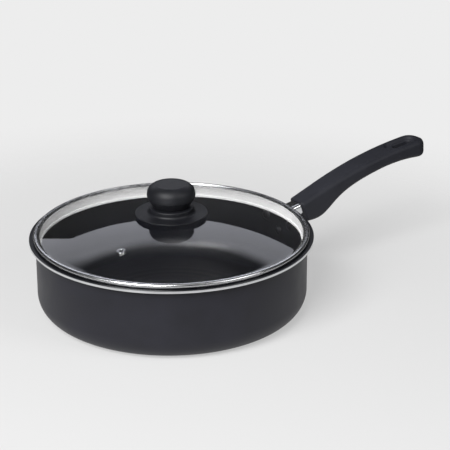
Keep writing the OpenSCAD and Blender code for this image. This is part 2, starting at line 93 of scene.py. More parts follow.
def surface(name, dark, light, rough, lump_mm, depth_mm, cloud_mm, stretch=(1, 1, 1), metallic=0.0, ior=1.5):
    """A mottled finish: clouds vary the colour and gloss, and fine lumps of lump_mm stand depth_mm high."""
    material, tree, place = blank_material(name)
    fitted = add(tree, "ShaderNodeMapping", inputs={"Vector": place, "Scale": stretch}).outputs["Vector"]
    lumps = add(tree, "ShaderNodeTexNoise", inputs={
        "Vector": fitted, "Scale": 1 / (lump_mm * MM), "Detail": 3.0, "Roughness": 0.6}).outputs["Fac"]
    cloud = add(tree, "ShaderNodeTexNoise", inputs={
        "Vector": place, "Scale": 1 / (cloud_mm * MM), "Detail": 2.0, "Roughness": 0.6}).outputs["Fac"]
    both = add(tree, "ShaderNodeMath", {"operation": "MULTIPLY_ADD"},
               {0: lumps, 1: 0.5, 2: cloud}).outputs["Value"]
    ramp = add(tree, "ShaderNodeValToRGB", inputs={"Fac": both})
    for stop, where, colour in zip(ramp.color_ramp.elements, (0.55, 0.95), (dark, light)):
        stop.position = where
        stop.color = linear(colour)
    gloss = add(tree, "ShaderNodeMapRange", inputs={
        "Value": both, "From Min": 0.5, "From Max": 1.0,
        "To Min": rough[0], "To Max": rough[1]}).outputs["Result"]
    relief = add(tree, "ShaderNodeBump", inputs={
        "Height": lumps, "Distance": depth_mm * MM, "Strength": 0.4}).outputs["Normal"]
    inputs = {"Base Color": ramp.outputs["Color"], "Roughness": gloss, "Normal": relief, "Metallic": metallic}
    if metallic < 1:
        inputs["IOR"] = ior
    shader = add(tree, "ShaderNodeBsdfPrincipled", inputs=inputs)
    finish_material(tree, shader.outputs["BSDF"])
    return material


def from_axis(tree, place):
    """Distance from the pan's axis."""
    flat = add(tree, "ShaderNodeVectorMath", {"operation": "MULTIPLY"},
               {0: place, 1: (1.0, 1.0, 0.0)}).outputs["Vector"]
    return add(tree, "ShaderNodeVectorMath", {"operation": "LENGTH"}, {0: flat}).outputs["Value"]


# Sprayed silicone-polyester coat on the outside: matte charcoal with a hint of blue,
# a fine sprayed grain and slightly uneven gloss.
COATING = surface("sprayed_silicone_coating", "#1a1a21", "#202028", (0.44, 0.54), 0.7, 0.03, 30, ior=1.4)

# Edge of the lip, turned bare after coating: bright aluminium with fine lathe lines.
BARE = surface("machined_aluminium_edge", "#dcdddf", "#eeeff0", (0.34, 0.5), 6, 0.01, 20,
               (0.05, 0.05, 12), metallic=1.0)

# Stainless rim band, rolled and buffed: near mirror, with faint lines along the roll.
BAND = surface("buffed_stainless_band", "#dcdddf", "#e8e9eb", (0.2, 0.3), 8, 0.004, 25,
               (0.04, 0.04, 16), metallic=1.0)

# Inside of the band's skirt: satin stainless as it came from the coil, soft; its pale, near-white and almost
# non-metallic colour is painted reflection, standing in for the bright light that the steel mirrors.
SKIRT_PAINTED_REFLECTION = surface("satin_stainless_skirt_painted_reflection", "#ebebeb", "#f3f3f3", (0.5, 0.62), 5, 0.01, 15,
                (0.05, 0.05, 10), metallic=0.1)

# Flame guard and eyelet: pressed stainless polished to a mirror, with faint waviness.
MIRROR = surface("mirror_polished_stainless", "#d4d5d7", "#dcdddf", (0.06, 0.12), 9, 0.02, 12, metallic=1.0)

# Brushed stainless bracket: fine upright scratches, soft grey shine.
BRACKET = surface("brushed_stainless_bracket", "#a4a6aa", "#bdbfc3", (0.3, 0.45), 1.2, 0.02, 15,
                  (1, 6, 0.15), metallic=1.0)

# Screws and washers: zinc plate, pale grey with a cloudy, slightly uneven shine.
ZINC = surface("zinc_plated_steel", "#a9abad", "#c4c6c8", (0.22, 0.36), 1.5, 0.01, 4, metallic=1.0)

# Threaded insert in the knob: free-cutting brass with fine turning lines.
BRASS = surface("turned_brass", "#b08a42", "#c9a257", (0.25, 0.4), 0.4, 0.01, 4, (0.2, 0.2, 3), metallic=1.0)

# Moulded phenolic grip: charcoal, matte, with the fine even texture of an etched mould.
GRIP = surface("etched_phenolic_grip", "#1e1f26", "#24252c", (0.56, 0.64), 0.55, 0.03, 22, ior=1.4)

# Compression-moulded phenolic knob: black, satin, smoother than the grip.
KNOB = surface("satin_phenolic_knob", "#15161a", "#1a1b20", (0.46, 0.54), 0.4, 0.012, 12, ior=1.4)

# Heat-proof silicone: dark grey, soft, with a dull waxy surface.
GASKET = surface("moulded_silicone", "#2c2d30", "#37383b", (0.6, 0.75), 2, 0.02, 6, ior=1.41)


def nonstick_coating():
    # PTFE non-stick coat inside: near black, satin, over a floor turned on a lathe,
    # so that soft rings show where light grazes it.
    ring_pitch = 3.2 * MM
    material, tree, place = blank_material("ptfe_nonstick_coating")
    out = from_axis(tree, place)
    wander = add(tree, "ShaderNodeTexNoise", {"noise_dimensions": "1D"},
                 {"W": out, "Scale": 1 / (5 * MM), "Detail": 3.0}).outputs["Fac"]
    turns = add(tree, "ShaderNodeMath", {"operation": "MULTIPLY"},
                {0: out, 1: 2 * math.pi / ring_pitch}).outputs["Value"]
    ripple = add(tree, "ShaderNodeMath", {"operation": "SINE"}, {0: turns}).outputs["Value"]
    rings = add(tree, "ShaderNodeMath", {"operation": "MULTIPLY_ADD"},
                {0: wander, 1: 1.6, 2: ripple}).outputs["Value"]
    relief = add(tree, "ShaderNodeBump", inputs={
        "Height": rings, "Distance": 0.02 * MM, "Strength": 0.7}).outputs["Normal"]
    gloss = add(tree, "ShaderNodeMapRange", inputs={
        "Value": wander, "From Min": 0.3, "From Max": 0.7, "To Min": 0.32, "To Max": 0.42}).outputs["Result"]
    shader = add(tree, "ShaderNodeBsdfPrincipled", inputs={
        "Base Color": linear("#101116"), "Roughness": gloss, "IOR": 1.4, "Normal": relief})
    finish_material(tree, shader.outputs["BSDF"])
    return material


def tempered_glass():
    # Clear toughened soda-lime glass, pressed to a dome: sharp reflections on both faces,
    # a faint pressed waviness, and light from the lamps passes through.
    material, tree, place = blank_material("toughened_soda_lime_glass")
    swell = add(tree, "ShaderNodeTexNoise", inputs={
        "Vector": place, "Scale": 1 / (45 * MM), "Detail": 1.0}).outputs["Fac"]
    relief = add(tree, "ShaderNodeBump", inputs={
        "Height": swell, "Distance": 0.02 * MM, "Strength": 0.3}).outputs["Normal"]
    glass = add(tree, "ShaderNodeBsdfPrincipled", inputs={
        "Base Color": linear("#ffffff"), "Roughness": 0.0, "IOR": 1.52,
        "Transmission Weight": 1.0, "Normal": relief})
    lamps = add(tree, "ShaderNodeBsdfTransparent", inputs={"Color": linear("#f4f4f4")})
    shadow = add(tree, "ShaderNodeLightPath").outputs["Is Shadow Ray"]
    mix = add(tree, "ShaderNodeMixShader",
              inputs={0: shadow, 1: glass.outputs["BSDF"], 2: lamps.outputs["BSDF"]})
    finish_material(tree, mix.outputs["Shader"])
    return material


NONSTICK = nonstick_coating()
GLASS = tempered_glass()

# ---- Outlines for turned pieces ----

def rounded(corners, spare=0.8):
    """Closed outline in millimetres through corners (r, z) or (r, z, radius), with arcs."""
    points = []
    count = len(corners)
    for i, corner in enumerate(corners):
        here = Vector(corner[:2])
        radius = corner[2] if len(corner) > 2 else 0
        if radius <= 0:
            points.append(here)
            continue
        back = (Vector(corners[i - 1][:2]) - here).normalized()
        on = (Vector(corners[(i + 1) % count][:2]) - here).normalized()
        opening = back.angle(on)
        reach = radius / math.tan(opening / 2)
        middle = here + (back + on).normalized() * radius / math.sin(opening / 2)
        start = here + back * reach - middle
        sweep = math.pi - opening
        end = here + on * reach - middle
        way = 1 if start.x * end.y - start.y * end.x > 0 else -1
        step = 3.5 if radius >= 5 else 9 if radius >= 1 else 22.5
        pieces = max(2, math.ceil(math.degrees(sweep) / step))
        for k in range(pieces + 1):
            a = way * sweep * k / pieces
            turn = Vector((start.x * math.cos(a) - start.y * math.sin(a),
                           start.x * math.sin(a) + start.y * math.cos(a)))
            points.append(middle + turn)
    return with_spare(points, spare)


def with_spare(points, spare):
    """Adds a point near both ends of each long straight, so that its shading stays flat."""
    done = []
    for a, b in zip(points, points[1:] + points[:1]):
        done.append(a)
        length = (b - a).length
        if length > 3 * spare:
            done.append(a + (b - a) * spare / length)
            done.append(b + (a - b) * spare / length)
    return done


def arc(centre, radius, start, end, steps):
    """Points on a circle in the outline's plane, with angles in degrees."""
    return [Vector((centre[0] + radius * math.cos(math.radians(start + (end - start) * k / steps)),
                    centre[1] + radius * math.sin(math.radians(start + (end - start) * k / steps))))
            for k in range(steps + 1)]


# ---- Geometry Nodes ----

def new_tree(name, sockets):
    """A Geometry Nodes tree with a geometry input and output and the named inputs."""
    tree = bpy.data.node_groups.new(name, "GeometryNodeTree")
    tree.interface.new_socket("Geometry", in_out="INPUT", socket_type="NodeSocketGeometry")
    for label, kind in sockets:
        tree.interface.new_socket(label, in_out="INPUT", socket_type=kind)
    tree.interface.new_socket("Geometry", in_out="OUTPUT", socket_type="NodeSocketGeometry")
    return tree, add(tree, "NodeGroupInput").outputs


def lathe_tree():
    """Turns an outline about the Z axis; faces past the Second and Third Row get other materials."""
    tree, given = new_tree("Turned piece", [
        ("Steps", "NodeSocketInt"), ("Material", "NodeSocketMaterial"),
        ("Second Row", "NodeSocketInt"), ("Second Material", "NodeSocketMaterial"),
        ("Third Row", "NodeSocketInt"), ("Third Material", "NodeSocketMaterial"),
    ])
    rows = add(tree, "GeometryNodeAttributeDomainSize",
               inputs={"Geometry": given["Geometry"]}).outputs["Point Count"]
    columns = add(tree, "ShaderNodeMath", {"operation": "ADD"}, {0: given["Steps"], 1: 1.0}).outputs["Value"]
    grid = add(tree, "GeometryNodeMeshGrid",
               inputs={"Vertices X": columns, "Vertices Y": rows}).outputs["Mesh"]
    index = add(tree, "GeometryNodeInputIndex").outputs["Index"]
    row = add(tree, "ShaderNodeMath", {"operation": "MODULO"}, {0: index, 1: rows}).outputs["Value"]
    share = add(tree, "ShaderNodeMath", {"operation": "DIVIDE"}, {0: index, 1: rows}).outputs["Value"]
    column = add(tree, "ShaderNodeMath", {"operation": "FLOOR"}, {0: share}).outputs["Value"]
    whole = add(tree, "ShaderNodeMath", {"operation": "MULTIPLY"},
                {0: column, 1: 2 * math.pi}).outputs["Value"]
    angle = add(tree, "ShaderNodeMath", {"operation": "DIVIDE"},
                {0: whole, 1: given["Steps"]}).outputs["Value"]
    position = add(tree, "GeometryNodeInputPosition").outputs["Position"]
    outline = add(tree, "GeometryNodeSampleIndex", {"data_type": "FLOAT_VECTOR"},
                  {"Geometry": given["Geometry"], "Value": position, "Index": row}).outputs["Value"]
    turned = add(tree, "ShaderNodeVectorRotate", {"rotation_type": "Z_AXIS"},
                 {"Vector": outline, "Angle": angle}).outputs["Vector"]
    placed = add(tree, "GeometryNodeSetPosition",
                 inputs={"Geometry": grid, "Position": turned}).outputs["Geometry"]
    marked = add(tree, "GeometryNodeStoreNamedAttribute", {"data_type": "FLOAT", "domain": "POINT"},
                 {"Geometry": placed, "Name": "row", "Value": row}).outputs["Geometry"]
    welded = add(tree, "GeometryNodeMergeByDistance",
                 inputs={"Geometry": marked, "Distance": WELD}).outputs["Geometry"]
    smooth = add(tree, "GeometryNodeSetShadeSmooth", inputs={"Geometry": welded}).outputs["Geometry"]
    made = add(tree, "GeometryNodeRealizeInstances", inputs={"Geometry": smooth}).outputs["Geometry"]
    made = add(tree, "GeometryNodeSetMaterial",
               inputs={"Geometry": made, "Material": given["Material"]}).outputs["Geometry"]
    stored = add(tree, "GeometryNodeInputNamedAttribute", {"data_type": "FLOAT"},
                 {"Name": "row"}).outputs["Attribute"]
    for label in ("Second", "Third"):
        past = add(tree, "FunctionNodeCompare", {"data_type": "FLOAT", "operation": "GREATER_THAN"},
                   {0: stored, 1: given[label + " Row"]}).outputs["Result"]
        made = add(tree, "GeometryNodeSetMaterial", inputs={
            "Geometry": made, "Selection": past, "Material": given[label + " Material"],
        }).outputs["Geometry"]
    add(tree, "NodeGroupOutput", inputs={"Geometry": made})
    return tree


def outline_object(name, points):
    """A wire mesh of the outline in the XZ plane, in metres, for a tree to turn."""
    mesh = bpy.data.meshes.new(name)
    mesh.from_pydata([(p.x * MM, 0, p.y * MM) for p in points],
                     [(i, i + 1) for i in range(len(points) - 1)], [])
    piece = bpy.data.objects.new(name, mesh)
    bpy.context.scene.collection.objects.link(piece)
    return piece


def run_tree(piece, tree, values):
    """Runs a tree on a piece with its inputs set, and keeps the result as a plain mesh."""
    modifier = piece.modifiers.new("Make", "NODES")
    modifier.node_group = tree
    for item in tree.interface.items_tree:
        if item.in_out == "INPUT" and item.name in values:
            modifier[item.identifier] = values[item.name]
    bpy.context.view_layer.update()
    done = piece.evaluated_get(bpy.context.evaluated_depsgraph_get())
    mesh = bpy.data.meshes.new_from_object(done)
    piece.modifiers.remove(modifier)
    piece.data = mesh
    if "row" in mesh.attributes:
        mesh.attributes.remove(mesh.attributes["row"])
    return piece


def finish_piece(piece, body, nodes=(), place=None, sharp=40):
    """Puts a piece in place, sets its shading, hangs it on its body's empty and hides the CAD nodes it
    replaces.
    """
    mesh = piece.data
    if place is not None:
        mesh.transform(place)
    mesh.shade_smooth()
    mesh.set_sharp_from_angle(angle=math.radians(sharp))
    mesh.update()
    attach(piece, body)
    if nodes:
        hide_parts(*nodes)
    return piece


LATHE = lathe_tree()
NO_ROW = 100000


def turned(name, points, material, closed=True, steps=TURN_STEPS, zones=()):
    """A turned piece from an outline that runs anticlockwise; zones are (row, material)."""
    if closed:
        points = points + [points[0]]
    zones = list(zones) + [(NO_ROW, material)] * (2 - len(zones))
    piece = outline_object(name, points)
    return run_tree(piece, LATHE, {
        "Steps": steps, "Material": material,
        "Second Row": zones[0][0], "Second Material": zones[0][1],
        "Third Row": zones[1][0], "Third Material": zones[1][1],
    })


def mesh_object(name, mesh, material):
    piece = bpy.data.objects.new(name, mesh)
    bpy.context.scene.collection.objects.link(piece)
    mesh.materials.clear()
    mesh.materials.append(material)
    return piece


# ---- Pan ----

_, pan_high = size("pan_body")
LIP_R = pan_high.y
PAN_H = pan_high.z
WALL_R = LIP_R - 6
WALL_T = 2.5
FLOOR_T = 3.5
CORNER_R = 20
FLARE_R = 6
GROOVES = (59, 75, 91, 107)
GROOVE_W = 3
GROOVE_DEPTH = 0.4


def pan_outline():
    corners = [(0, 0)]
    for start in GROOVES:
        corners += [(start, 0, 0.1), (start, GROOVE_DEPTH, 0.1),
                    (start + GROOVE_W, GROOVE_DEPTH, 0.1), (start + GROOVE_W, 0, 0.1)]
    corners += [
        (WALL_R, 0, CORNER_R), (WALL_R, PAN_H - WALL_T, FLARE_R - WALL_T),
        (LIP_R, PAN_H - WALL_T, 0.15), (LIP_R, PAN_H, 0.15),
        (WALL_R - WALL_T, PAN_H, FLARE_R), (WALL_R - WALL_T, FLOOR_T, CORNER_R - WALL_T),
        (0, FLOOR_T),
    ]
    return rounded(corners)


pan_points = pan_outline()
bare_start = min(i for i, p in enumerate(pan_points) if p.x > LIP_R - 0.01)
bare_end = max(i for i, p in enumerate(pan_points) if p.x > LIP_R - 0.01)
pan = turned("pan_shell", pan_points, COATING, closed=False,
             zones=[(bare_start, BARE), (bare_end, NONSTICK)])
finish_piece(pan, "pan", ["pan_body"])

# ---- Lid ----

band_low, band_high = size("rim_band")
glass_low, glass_high = size("lid_glass")
BAND_R = band_high.x
BAND_TOP = band_high.z
BAND_H = 5
BAND_BOTTOM = BAND_TOP - BAND_H
BAND_BEND = 2
BAND_TURN_IN = 3.4
SKIRT_FOOT = band_low.z
SKIRT_R = 125.9
BAND_T = 0.5
HEM_H = 2.4
GLASS_T = 4
GLASS_R = glass_high.x
FLAT_EDGE_W = 4.2
DOME_EDGE_R = GLASS_R - FLAT_EDGE_W
GLASS_BOTTOM = glass_low.z
GLASS_TOP = GLASS_BOTTOM + GLASS_T
DOME_RISE = 16
DOME_R = (DOME_EDGE_R ** 2 + DOME_RISE ** 2) / (2 * DOME_RISE)
APEX = GLASS_TOP + DOME_RISE
VENT_R = 86
VENT_HOLE_R = 2.7


def band_outline():
    inner = SKIRT_R - BAND_T
    return rounded([
        (SKIRT_R, SKIRT_FOOT, 0.48), (SKIRT_R, BAND_BOTTOM, 0.6),
        (BAND_R, BAND_BOTTOM, BAND_BEND), (BAND_R, BAND_TOP, BAND_BEND),
        (BAND_R - BAND_TURN_IN, BAND_TOP, 0.24), (BAND_R - BAND_TURN_IN, BAND_TOP - BAND_T, 0.24),
        (BAND_R - BAND_T, BAND_TOP - BAND_T, BAND_BEND - BAND_T),
        (BAND_R - BAND_T, BAND_BOTTOM + BAND_T, BAND_BEND - BAND_T),
        (inner, BAND_BOTTOM + BAND_T, 0.2), (inner, SKIRT_FOOT + HEM_H, 0.1),
        (inner - BAND_T, SKIRT_FOOT + HEM_H, 0.2), (inner - BAND_T, SKIRT_FOOT, 0.48),
    ], spare=0.5)


band_points = band_outline()
skirt_start = min(i for i, p in enumerate(band_points) if i > 20 and p.x < SKIRT_R - BAND_T + 0.01)
# The skirt's inside takes the pale skirt material, whose near-white colour is painted reflection.
band = turned("rim_band_rolled", band_points, BAND, zones=[(skirt_start, SKIRT_PAINTED_REFLECTION)])
finish_piece(band, "lid", ["rim_band"])


def dome_z(r, drop=0):
    return APEX - drop - DOME_R + math.sqrt(DOME_R ** 2 - r ** 2)


def glass_outline():
    edge = GLASS_R - (BAND_R - BAND_BEND)
    rings = 48
    hole_r = 4
    blend = 1.2
    rs = [hole_r + (DOME_EDGE_R - blend - hole_r) * k / rings for k in range(rings + 1)]
    inside = [Vector((r, dome_z(r, GLASS_T))) for r in rs]
    outside = [Vector((r, dome_z(r))) for r in reversed(rs)]
    rim = rounded([
        (DOME_EDGE_R + blend, GLASS_BOTTOM), (GLASS_R, GLASS_BOTTOM, edge),
        (GLASS_R, GLASS_TOP, edge), (DOME_EDGE_R + blend, GLASS_TOP),
    ], spare=5)
    return inside + rim + outside


def vent_place():
    """The frame of the steam vent, with Z square to the dome."""
    low, high = size("vent_eyelet")
    middle = (low + high) / 2
    turn = math.atan2(middle.y, middle.x)
    tilt = math.asin(VENT_R / DOME_R)
    return (Matrix.Rotation(turn, 4, "Z") @ Matrix.Translation((0, 0, (APEX - DOME_R) * MM))
            @ Matrix.Rotation(tilt, 4, "Y") @ Matrix.Translation((0, 0, DOME_R * MM)))


VENT = vent_place()


def cut(piece, cutter):
    """Cuts one closed mesh out of another and removes the cutter."""
    modifier = piece.modifiers.new("Cut", "BOOLEAN")
    modifier.operation = "DIFFERENCE"
    modifier.solver = "EXACT"
    modifier.object = cutter
    bpy.context.view_layer.update()
    done = piece.evaluated_get(bpy.context.evaluated_depsgraph_get())
    mesh = bpy.data.meshes.new_from_object(done)
    piece.modifiers.remove(modifier)
    piece.data = mesh
    bpy.data.objects.remove(cutter)
    return piece


glass = turned("dome_glass", glass_outline(), GLASS)
vent_hole = turned("vent_hole", [
    Vector(p) for p in ((0, -9), (VENT_HOLE_R, -9), (VENT_HOLE_R, 5), (0, 5))
], GLASS, closed=False, steps=48)
vent_hole.data.transform(VENT)
cut(glass, vent_hole)
finish_piece(glass, "lid", ["lid_glass"])

eyelet = turned("vent_eyelet_rolled", rounded([
    (2, -4.5, 0.2), (4.2, -4.5, 0.2), (4.2, -4.05, 0.15), (2.5, -4.05, 0.1),
    (2.5, 0.02, 0.1), (4.2, 0.02, 0.1), (4.2, 0.5, 0.3), (2, 0.5, 0.45),
], spare=0.2), MIRROR, steps=64)
finish_piece(eyelet, "lid", ["vent_eyelet"], place=VENT)

# ---- Knob ----

head_low, head_high = size("knob_head")
base_low, base_high = size("knob_base")
HEAD_Z = head_low.z
HEAD_H = 22.4
HEAD_TOP = HEAD_Z + HEAD_H
KNOB_R = head_high.x
SIDE_R = 10.2
INSERT_R = 4.5
INSERT_H = 13
SCREW_HOLE_R = 3


def head_outline():
    side_x = KNOB_R - SIDE_R
    side_z = HEAD_TOP - SIDE_R
    dish_r = 15
    crest = math.degrees(math.acos((dish_r - side_x) / SIDE_R))
    side = arc((side_x, side_z), SIDE_R, -24, crest, 34)
    foot = rounded([(INSERT_R, HEAD_Z + INSERT_H), (INSERT_R, HEAD_Z, 0.2), (17, HEAD_Z, 0.6),
                    tuple(side[0])], spare=0.6)
    foot = [p for p in foot if p.y < side[0].y - 0.01 or p.x < 10]
    dish = [Vector((dish_r * k / 12, HEAD_TOP - 0.7 + 0.18 * (k / 12) ** 2)) for k in range(11, -1, -1)]
    lip = rounded([tuple(side[-2]), (dish_r - 0.1, side[-1].y - 0.02, 0.3),
                   (dish_r - 0.45, HEAD_TOP - 0.5, 0.2), tuple(dish[0])], spare=5)
    return [Vector((0, HEAD_Z + INSERT_H))] + foot + side[:-2] + lip[:-1] + dish


knob_head = turned("knob_head_moulded", head_outline(), KNOB, closed=False, steps=128)
finish_piece(knob_head, "lid", ["knob_head"])

BRIM_R = base_high.x
BRIM_Z = base_low.z
BRIM_T = 1.8
CROWN_R = 21.6
# The brim's underside rises towards its rim, so that it ends in a thin edge.
knob_base = turned("knob_base_moulded", rounded([
    (SCREW_HOLE_R, BRIM_Z, 0.2), (CROWN_R, BRIM_Z, 5),
    (BRIM_R, BRIM_Z + BRIM_T / 2, 0.35), (BRIM_R, BRIM_Z + BRIM_T, 0.4),
    (CROWN_R, BRIM_Z + BRIM_T, 2.6), (CROWN_R, HEAD_Z, 1.3), (SCREW_HOLE_R, HEAD_Z, 0.2),
]), KNOB, steps=160)
finish_piece(knob_base, "lid", ["knob_base"])


def flat_ring(name, node, inner, edge, material):
    """A ring with eased edges in the place of a CAD ring about the lid's axis."""
    low, high = size(node)
    ring = turned(name, rounded([
        (inner, low.z, edge), (high.x, low.z, edge), (high.x, high.z, edge), (inner, high.z, edge),
    ], spare=0.4), material, steps=96)
    return finish_piece(ring, "lid", [node])


flat_ring("upper_gasket_ring", "upper_gasket", SCREW_HOLE_R, 0.2, GASKET)
flat_ring("lower_gasket_ring", "lower_gasket", SCREW_HOLE_R, 0.35, GASKET)
flat_ring("knob_washer_stamped", "knob_washer", SCREW_HOLE_R, 0.15, ZINC)
flat_ring("knob_spring_washer_ring", "knob_spring_washer", SCREW_HOLE_R, 0.12, ZINC)

insert_low, insert_high = size("knob_insert")
insert = turned("knob_insert_turned", rounded([
    (2.5, insert_low.z, 0.2), (insert_high.x, insert_low.z, 0.3),
    (insert_high.x, insert_high.z, 0.3), (0, insert_high.z), (0, insert_high.z - 3), (2.5, insert_high.z - 3),
], spare=0.5), BRASS, steps=64)
finish_piece(insert, "lid", ["knob_insert"])


CROSS_LEN = 1.2
CROSS_W = 0.26
CROSS_DEPTH = 1.1
SCREW_R = 2.5
SCREW_HEAD_H = 3


def cross_screw(name, shank_r, head_r, head_h, length):
    """A pan-head screw with a cross recess, its head below zero and its thread above."""
    screw = turned(name, rounded([
        (0, -head_h), (head_r, -head_h, min(head_h, head_r) * 0.45), (head_r, 0, 0.2), (shank_r, 0, 0.2),
        (shank_r, length - 0.6), (shank_r - 0.6, length), (0, length),
    ], spare=0.5), ZINC, closed=False, steps=48)
    for turn in (0, math.pi / 2):
        mesh = bpy.data.meshes.new("cross")
        work = bmesh.new()
        bmesh.ops.create_cube(work, size=1)
        work.to_mesh(mesh)
        work.free()
        slot_cut = mesh_object("cross_cut", mesh, ZINC)
        mesh.transform(Matrix.Rotation(turn, 4, "Z") @ Matrix.Translation((0, 0, -head_h * MM))
                       @ Matrix.Diagonal((head_r * CROSS_LEN * MM, head_r * CROSS_W * MM,
                                          head_h * CROSS_DEPTH * MM, 1)))
        cut(screw, slot_cut)
    return screw


screw_low, screw_high = size("knob_screw")
knob_screw = cross_screw("knob_screw_zinc", SCREW_R, screw_high.x, SCREW_HEAD_H,
                         screw_high.z - screw_low.z - SCREW_HEAD_H)
finish_piece(knob_screw, "lid", ["knob_screw"],
             place=Matrix.Translation((0, 0, (screw_low.z + SCREW_HEAD_H) * MM)))

# ---- Rivets ----

def rivet_tree():
    """Three rivets on the wall: two above, one below between them."""
    tree, given = new_tree("Rivets on the wall", [
        ("Material", "NodeSocketMaterial"), ("Wall Radius", "NodeSocketFloat"), ("Turn", "NodeSocketFloat"),
        ("Upper Height", "NodeSocketFloat"), ("Lower Height", "NodeSocketFloat"),
    ])
    head = add(tree, "GeometryNodeGroup", {"node_tree": LATHE}, {
        "Geometry": given["Geometry"], "Steps": 48, "Material": given["Material"],
        "Second Row": NO_ROW, "Third Row": NO_ROW,
        "Second Material": given["Material"], "Third Material": given["Material"],
    }).outputs["Geometry"]
    index = add(tree, "GeometryNodeInputIndex").outputs["Index"]
    side = add(tree, "ShaderNodeMath", {"operation": "SUBTRACT"}, {0: index, 1: 1.0}).outputs["Value"]
    angle = add(tree, "ShaderNodeMath", {"operation": "MULTIPLY"},
                {0: side, 1: given["Turn"]}).outputs["Value"]
    upper = add(tree, "ShaderNodeMath", {"operation": "ABSOLUTE"}, {0: side}).outputs["Value"]
    height = add(tree, "ShaderNodeMapRange", inputs={
        "Value": upper, "To Min": given["Lower Height"], "To Max": given["Upper Height"]}).outputs["Result"]
    away = add(tree, "ShaderNodeCombineXYZ", inputs={"X": given["Wall Radius"]}).outputs["Vector"]
    out = add(tree, "ShaderNodeVectorRotate", {"rotation_type": "Z_AXIS"},
              {"Vector": away, "Angle": angle}).outputs["Vector"]
    lift = add(tree, "ShaderNodeCombineXYZ", inputs={"Z": height}).outputs["Vector"]
    spot = add(tree, "ShaderNodeVectorMath", {"operation": "ADD"}, {0: out, 1: lift}).outputs["Vector"]
    points = add(tree, "GeometryNodePoints", inputs={"Count": 3, "Position": spot}).outputs["Points"]
    turn = add(tree, "FunctionNodeAlignRotationToVector", {"axis": "Z"}, {"Vector": out}).outputs["Rotation"]
    set_on = add(tree, "GeometryNodeInstanceOnPoints",
                 inputs={"Points": points, "Instance": head, "Rotation": turn}).outputs["Instances"]
    made = add(tree, "GeometryNodeRealizeInstances", inputs={"Geometry": set_on}).outputs["Geometry"]
    made = add(tree, "GeometryNodeSetMaterial",
               inputs={"Geometry": made, "Material": given["Material"]}).outputs["Geometry"]
    add(tree, "NodeGroupOutput", inputs={"Geometry": made})
    return tree


FLANGE_T = 2
RIVET_SIDE = 19
rivet_grip = WALL_T + FLANGE_T
upper_low, upper_high = size("rivet_left")
lower_low, lower_high = size("rivet_lower")


def rivet_outline():
    """From the head inside the pan, at zero, out to the head on the flange."""
    shank_r = 2.5
    head_r = 5
    head_h = 1.75
    sink = 0.12
    inside = rounded([(0, -head_h, 0), (head_r * 0.55, -head_h + 0.12, 3), (head_r, -0.35, 0.6),
                      (head_r, sink, 0.1), (shank_r, sink)], spare=4)
    outside = rounded([
        (shank_r, rivet_grip - sink), (head_r, rivet_grip - sink, 0.1), (head_r, rivet_grip + 0.35, 0.6),
        (head_r * 0.55, rivet_grip + head_h - 0.12, 3), (0, rivet_grip + head_h, 0)], spare=4)
    return inside + outside


rivets = run_tree(outline_object("rivets_domed", rivet_outline()), rivet_tree(), {
    "Material": NONSTICK, "Wall Radius": (WALL_R - WALL_T) * MM, "Turn": math.asin(RIVET_SIDE / WALL_R),
    "Upper Height": (upper_low.z + upper_high.z) / 2 * MM,
    "Lower Height": (lower_low.z + lower_high.z) / 2 * MM,
})
finish_piece(rivets, "pan", ["rivet_left", "rivet_right", "rivet_lower"])

# ---- Handle ----

GRIP_X = 150
GRIP_Z = PAN_H + 1
GRIP_LEN = 167
GRIP_ANGLE = math.radians(19.5)
GRIP_STRAIGHT = 33
ARCH_R = 465
FRONT_W = 23
MID_W = 27
END_W = 29
GRIP_DEPTH = 14
CHIN_DEPTH = 13
CHIN_PLACE = 16
CHIN_FADE = 18
TIP_DEPTH = 6
TIP_START = 0.62
TIP_ROUND = 15
TIP_SHAPE = 2.3
EDGE_R = 5
BODY_LEN = GRIP_LEN - TIP_ROUND
TANG_ANGLE = math.radians(10)
TANG_Z = PAN_H - WALL_T - 0.9 - 6 / math.cos(TANG_ANGLE) - (LIP_R - WALL_R) * math.tan(TANG_ANGLE)
SLOT_LEN = 24
SLOT_W = 10
SLOT_MID = GRIP_LEN - 12 - SLOT_LEN / 2
RECESS_LEN = 40
RECESS_W = 18
RECESS_MID = SLOT_MID - 3
RECESS_DEPTH = 3.2
MOUTH_DEPTH = 7
CUT_PAST = 3.0


def share(s, a, b):
    return min(max((s - a) / (b - a), 0), 1)


def ease(x):
    return x * x * (3 - 2 * x)


def slope(s):
    return GRIP_ANGLE if s < GRIP_STRAIGHT else GRIP_ANGLE - (s - GRIP_STRAIGHT) / ARCH_R


def top_line(s):
    if s < GRIP_STRAIGHT:
        return GRIP_X + s * math.cos(GRIP_ANGLE), GRIP_Z + s * math.sin(GRIP_ANGLE)
    bend = slope(s)
    return (GRIP_X + GRIP_STRAIGHT * math.cos(GRIP_ANGLE) + ARCH_R * (math.sin(GRIP_ANGLE) - math.sin(bend)),
            GRIP_Z + GRIP_STRAIGHT * math.sin(GRIP_ANGLE) + ARCH_R * (math.cos(bend) - math.cos(GRIP_ANGLE)))


def grip_depth(s):
    return (GRIP_DEPTH + CHIN_DEPTH / math.cosh((s - CHIN_PLACE) / CHIN_FADE)
            + TIP_DEPTH * share(s, TIP_START * GRIP_LEN, GRIP_LEN) ** 2)


def grip_width(s):
    half = GRIP_LEN / 2
    return FRONT_W + (MID_W - FRONT_W) * share(s, 0, half) + (END_W - MID_W) * share(s, half, GRIP_LEN)


def scoop(s, across):
    """Depth of the shallow recess around the hanging slot."""
    half_len = (RECESS_LEN - RECESS_W) / 2
    along = max(abs(s - RECESS_MID) - half_len, 0)
    edge = RECESS_W / 2 - math.hypot(along, across)
    return RECESS_DEPTH * ease(share(edge, 0, 3.4))


